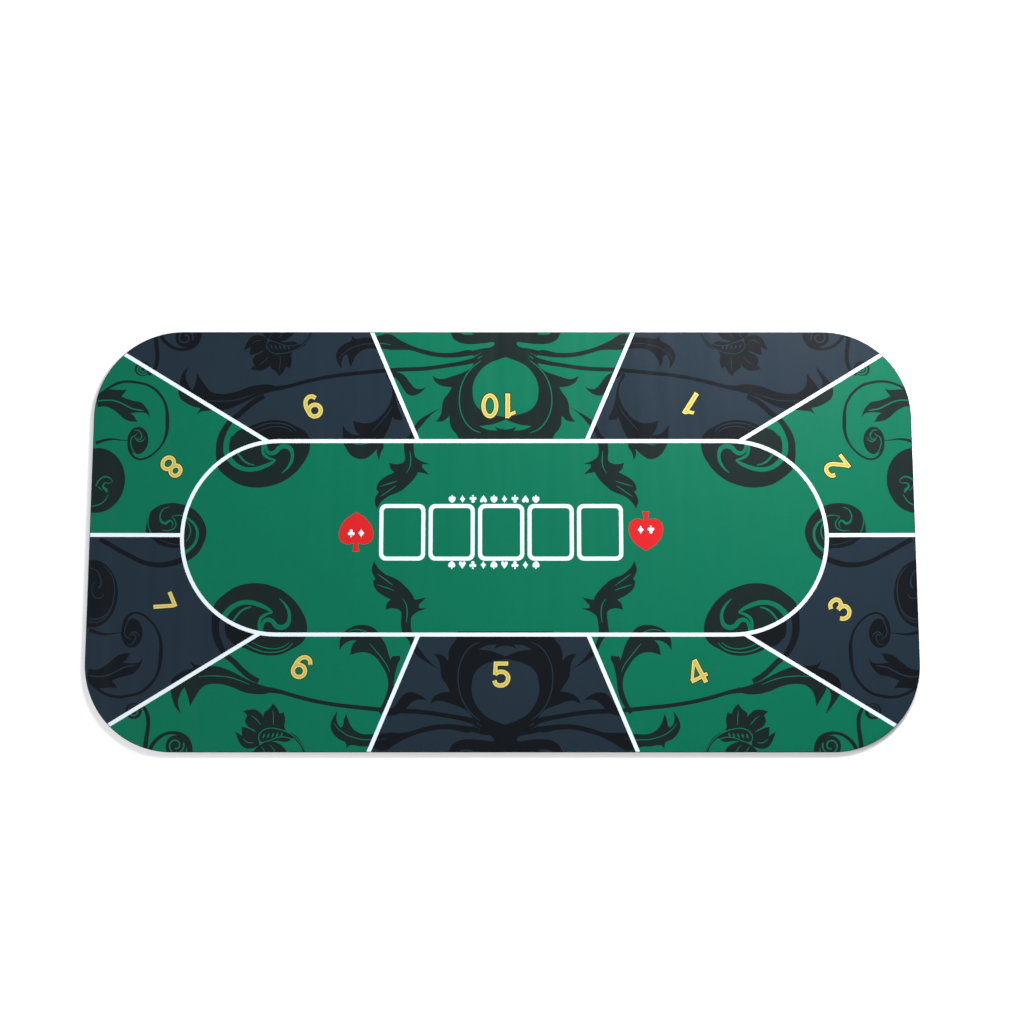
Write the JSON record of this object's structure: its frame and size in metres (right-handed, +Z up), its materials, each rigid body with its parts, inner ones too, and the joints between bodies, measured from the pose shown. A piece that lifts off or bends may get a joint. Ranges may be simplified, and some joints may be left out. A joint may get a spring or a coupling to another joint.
{
  "type": "folding poker table top",
  "caption": "Thin rectangular poker table top with rounded corners: a printed cloth face over stiff boards and anti-slip rubber, folding at the quarters and the centre.",
  "frame": {"origin": "bottom centre: the middle of the unfolded underside, on the surface that the top lies on", "axes": "+X along the long side, across the fold lines; +Y along the short side, away from the viewer; +Z up, out of the printed playing face"},
  "size_m": [1.2, 0.615, 0.0065],
  "materials": {
    "face_cloth": "printed woven playing cloth, matt",
    "foam": "soft closed-cell foam, matt",
    "rim": "moulded rubber edging, satin",
    "board": "bare hardboard",
    "backing": "anti-slip rubber sheet, matt"
  },
  "bodies": {
    "inner_left": {"inner_left_backing": "backing", "inner_left_rim": "rim", "inner_left_board": "board", "inner_left_foam": "foam", "inner_left_cloth": "face_cloth"},
    "outer_left": {"outer_left_backing": "backing", "outer_left_rim": "rim", "outer_left_board": "board", "outer_left_foam": "foam", "outer_left_cloth": "face_cloth"},
    "spine": {"spine_backing": "backing", "spine_rim": "rim", "spine_slat": "board", "spine_foam": "foam", "spine_cloth": "face_cloth"},
    "inner_right": {"inner_right_backing": "backing", "inner_right_rim": "rim", "inner_right_board": "board", "inner_right_foam": "foam", "inner_right_cloth": "face_cloth"},
    "outer_right": {"outer_right_backing": "backing", "outer_right_rim": "rim", "outer_right_board": "board", "outer_right_foam": "foam", "outer_right_cloth": "face_cloth"}
  },
  "joints": [
    {"name": "quarter_fold_left", "type": "hinge", "parent": "inner_left", "child": "outer_left", "pos_m": [-0.3055, 0, 0.00675], "axis": [0, 1, 0], "range_deg": [0, 180]},
    {"name": "centre_fold_left", "type": "hinge", "parent": "inner_left", "child": "spine", "pos_m": [-0.0075, 0, 0.00675], "axis": [0, -1, 0], "range_deg": [0, 90]},
    {"name": "centre_fold_right", "type": "hinge", "parent": "spine", "child": "inner_right", "pos_m": [0.0075, 0, 0.00675], "axis": [0, -1, 0], "range_deg": [0, 90]},
    {"name": "quarter_fold_right", "type": "hinge", "parent": "inner_right", "child": "outer_right", "pos_m": [0.3055, 0, 0.00675], "axis": [0, -1, 0], "range_deg": [0, 180]}
  ]
}
